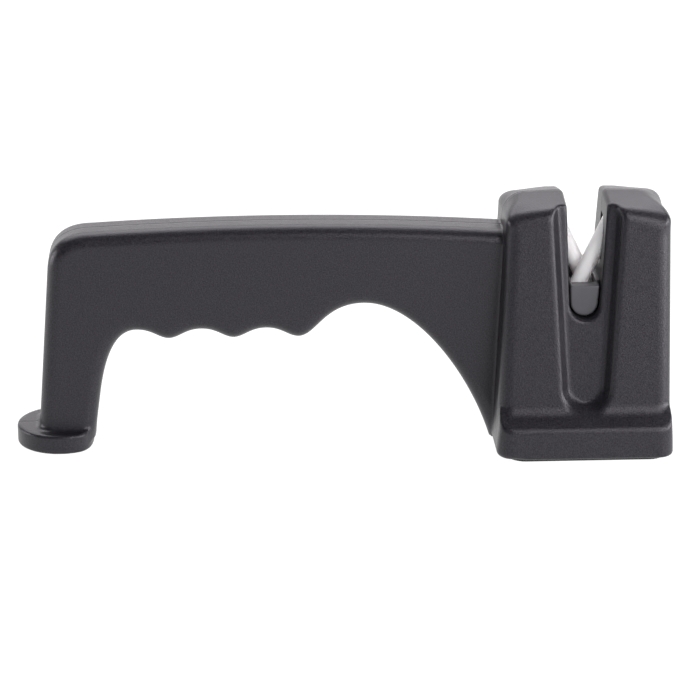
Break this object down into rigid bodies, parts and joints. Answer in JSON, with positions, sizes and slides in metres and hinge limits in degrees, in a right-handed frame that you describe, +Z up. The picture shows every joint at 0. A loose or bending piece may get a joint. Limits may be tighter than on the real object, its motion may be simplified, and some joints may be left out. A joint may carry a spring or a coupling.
{
  "type": "knife sharpener",
  "caption": "Hand-held knife sharpener: a finger-grip handle on a round foot, and a tall head whose open slot holds crossed ceramic rods that hone a blade drawn through it.",
  "frame": {"origin": "on the table, under the middle of the object's box", "axes": "+X along the grip towards the head, +Y from the front to the rear, +Z up"},
  "size_m": [0.2, 0.0556, 0.0781],
  "materials": {
    "body_plastic": "fine spark-eroded grain",
    "holder_plastic": "smooth satin",
    "rod_ceramic": "unglazed, ground round",
    "pad_rubber": "matte",
    "screw_steel": "zinc plated"
  },
  "bodies": {
    "body": {"front_shell": "body_plastic", "rear_shell": "body_plastic", "rod_holder": "holder_plastic", "base_pad": "pad_rubber", "foot_pad": "pad_rubber", "leg_screw": "screw_steel", "grip_screw": "screw_steel", "neck_screw": "screw_steel", "head_screw_left": "screw_steel", "head_screw_right": "screw_steel"},
    "front_rod": {"ceramic_rod_front": "rod_ceramic"},
    "rear_rod": {"ceramic_rod_rear": "rod_ceramic"}
  },
  "joints": [
    {"name": "front_rod_turn", "type": "hinge", "parent": "body", "child": "front_rod", "pos_m": [0.07335, -0.0029, 0.0519], "axis": [0.4226, 0, 0.9063], "continuous": true},
    {"name": "rear_rod_turn", "type": "hinge", "parent": "body", "child": "rear_rod", "pos_m": [0.07335, 0.0029, 0.0519], "axis": [-0.4226, 0, 0.9063], "continuous": true}
  ]
}
